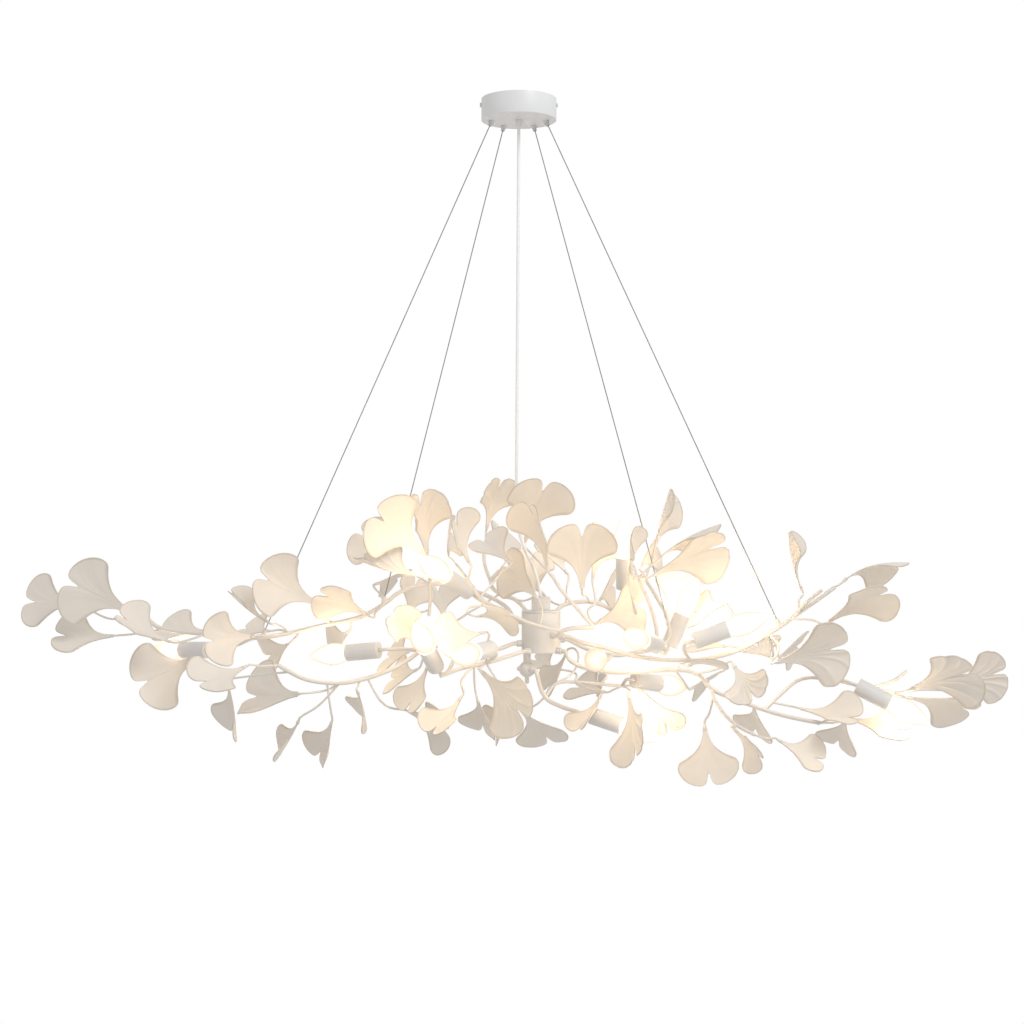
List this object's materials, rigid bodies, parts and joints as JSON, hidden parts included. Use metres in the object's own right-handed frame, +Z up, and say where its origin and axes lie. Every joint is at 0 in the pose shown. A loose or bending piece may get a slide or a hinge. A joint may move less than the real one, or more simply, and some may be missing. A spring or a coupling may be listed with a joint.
{
  "type": "chandelier",
  "caption": "Wide hanging light of bent white steel branches with cupped two-lobed leaves and candle bulbs, on fine wires from a round ceiling canopy.",
  "frame": {"origin": "centre of the ceiling bracket's top face, which lies on the ceiling", "axes": "+Z up, +X along the long spread of the branches, to the right as the light is seen from its front, +Y away from that side"},
  "size_m": [1.6143, 0.493, 1.0941],
  "materials": {
    "white_enamel": "matt warm-white enamel",
    "zinc_plated_steel": "zinc plated",
    "bright_steel": "bright",
    "terminal_plastic": "matt",
    "gland_plastic": "matt",
    "cord_sheath": "satin",
    "socket_plastic": "matt",
    "frosted_glass": "frosted, lit from inside"
  },
  "bodies": {
    "ceiling_mount": {"ceiling_bracket": "zinc_plated_steel", "canopy_cup": "white_enamel", "canopy_screws": "bright_steel", "terminal_block": "terminal_plastic", "cord_gland": "gland_plastic", "gland_nut": "gland_plastic", "wire_grips": "bright_steel"},
    "hung_fixture": {"suspension_wires": "bright_steel", "power_cord": "cord_sheath", "hub_drum": "white_enamel", "hub_cap": "white_enamel", "hub_set_screw": "bright_steel", "hub_rod": "white_enamel", "branch_upper_left": "white_enamel", "branch_lower_left": "white_enamel", "branch_front_arc": "white_enamel", "branch_front_left": "white_enamel", "branch_top_left": "white_enamel", "branch_top_right": "white_enamel", "branch_right_cluster": "white_enamel", "branch_upper_right": "white_enamel", "branch_lower_right": "white_enamel", "branch_bottom": "white_enamel", "leaves_upper_left": "white_enamel", "leaves_lower_left": "white_enamel", "leaves_front_arc": "white_enamel", "leaves_front_left": "white_enamel", "leaves_top_left": "white_enamel", "leaves_top_right": "white_enamel", "leaves_right_cluster": "white_enamel", "leaves_upper_right": "white_enamel", "leaves_lower_right": "white_enamel", "leaves_bottom": "white_enamel", "lamp_sleeves": "white_enamel", "lamp_sockets": "socket_plastic"},
    "grip_button_1": {"grip_plunger_1": "bright_steel"},
    "grip_button_2": {"grip_plunger_2": "bright_steel"},
    "grip_button_3": {"grip_plunger_3": "bright_steel"},
    "grip_button_4": {"grip_plunger_4": "bright_steel"},
    "screw_bulb_1": {"bulb_1": "frosted_glass"},
    "screw_bulb_2": {"bulb_2": "frosted_glass"},
    "screw_bulb_3": {"bulb_3": "frosted_glass"},
    "screw_bulb_4": {"bulb_4": "frosted_glass"},
    "screw_bulb_5": {"bulb_5": "frosted_glass"},
    "screw_bulb_6": {"bulb_6": "frosted_glass"},
    "screw_bulb_7": {"bulb_7": "frosted_glass"},
    "screw_bulb_8": {"bulb_8": "frosted_glass"},
    "screw_bulb_9": {"bulb_9": "frosted_glass"},
    "screw_bulb_10": {"bulb_10": "frosted_glass"},
    "screw_bulb_11": {"bulb_11": "frosted_glass"},
    "screw_bulb_12": {"bulb_12": "frosted_glass"},
    "screw_bulb_13": {"bulb_13": "frosted_glass"}
  },
  "joints": [
    {"name": "fixture_sway", "type": "hinge", "parent": "ceiling_mount", "child": "hung_fixture", "pos_m": [0, 0, -0.03825], "axis": [1, 0, 0], "range_deg": [-2.5, 2.5], "deforming": ["suspension_wires", "power_cord"]},
    {"name": "grip_release_1", "type": "slide", "parent": "ceiling_mount", "child": "grip_button_1", "axis": [0.4084, -0.0155, 0.9127], "range_m": [0, 0.002], "stiffness_N_per_m": 900, "springref_m": -0.002},
    {"name": "grip_release_2", "type": "slide", "parent": "ceiling_mount", "child": "grip_button_2", "axis": [0.2459, -0.0087, 0.9693], "range_m": [0, 0.002], "stiffness_N_per_m": 900, "springref_m": -0.002},
    {"name": "grip_release_3", "type": "slide", "parent": "ceiling_mount", "child": "grip_button_3", "axis": [-0.2602, 0.0182, 0.9654], "range_m": [0, 0.002], "stiffness_N_per_m": 900, "springref_m": -0.002},
    {"name": "grip_release_4", "type": "slide", "parent": "ceiling_mount", "child": "grip_button_4", "axis": [-0.4173, 0.0261, 0.9084], "range_m": [0, 0.002], "stiffness_N_per_m": 900, "springref_m": -0.002},
    {"name": "bulb_screw_1", "type": "hinge", "parent": "hung_fixture", "child": "screw_bulb_1", "pos_m": [-0.52995, 0.01692, -0.88339], "axis": [-0.8353, 0.5479, -0.0451], "continuous": true},
    {"name": "bulb_screw_2", "type": "hinge", "parent": "hung_fixture", "child": "screw_bulb_2", "pos_m": [-0.2579, -0.02607, -0.88314], "axis": [-0.9308, 0.3482, -0.1108], "continuous": true},
    {"name": "bulb_screw_3", "type": "hinge", "parent": "hung_fixture", "child": "screw_bulb_3", "pos_m": [-0.1365, -0.14584, -0.87476], "axis": [-0.2269, -0.771, 0.595], "continuous": true},
    {"name": "bulb_screw_4", "type": "hinge", "parent": "hung_fixture", "child": "screw_bulb_4", "pos_m": [-0.10476, -0.03932, -0.76929], "axis": [-0.6325, -0.608, 0.4799], "continuous": true},
    {"name": "bulb_screw_5", "type": "hinge", "parent": "hung_fixture", "child": "screw_bulb_5", "pos_m": [-0.06065, -0.20138, -0.8682], "axis": [-0.4144, -0.9095, -0.0322], "continuous": true},
    {"name": "bulb_screw_6", "type": "hinge", "parent": "hung_fixture", "child": "screw_bulb_6", "pos_m": [0.174, 0.08742, -0.74938], "axis": [-0.021, -0.3146, 0.949], "continuous": true},
    {"name": "bulb_screw_7", "type": "hinge", "parent": "hung_fixture", "child": "screw_bulb_7", "pos_m": [0.19824, -0.07937, -0.86242], "axis": [-0.4708, -0.8592, 0.2003], "continuous": true},
    {"name": "bulb_screw_8", "type": "hinge", "parent": "hung_fixture", "child": "screw_bulb_8", "pos_m": [0.26107, 0.055, -0.84323], "axis": [0.3939, 0, 0.9191], "continuous": true},
    {"name": "bulb_screw_9", "type": "hinge", "parent": "hung_fixture", "child": "screw_bulb_9", "pos_m": [0.11734, -0.12931, -0.88948], "axis": [-0.0765, -0.9826, 0.1691], "continuous": true},
    {"name": "bulb_screw_10", "type": "hinge", "parent": "hung_fixture", "child": "screw_bulb_10", "pos_m": [0.30877, -0.085, -0.84808], "axis": [0.9459, 0, 0.3243], "continuous": true},
    {"name": "bulb_screw_11", "type": "hinge", "parent": "hung_fixture", "child": "screw_bulb_11", "pos_m": [0.56202, -0.07486, -0.95065], "axis": [0.8609, -0.2466, -0.445], "continuous": true},
    {"name": "bulb_screw_12", "type": "hinge", "parent": "hung_fixture", "child": "screw_bulb_12", "pos_m": [0.14838, -0.06928, -0.99074], "axis": [0.8452, -0.482, -0.2307], "continuous": true},
    {"name": "bulb_screw_13", "type": "hinge", "parent": "hung_fixture", "child": "screw_bulb_13", "pos_m": [0.21517, 0.02619, -0.93702], "axis": [0.7352, 0.6548, -0.1756], "continuous": true}
  ]
}
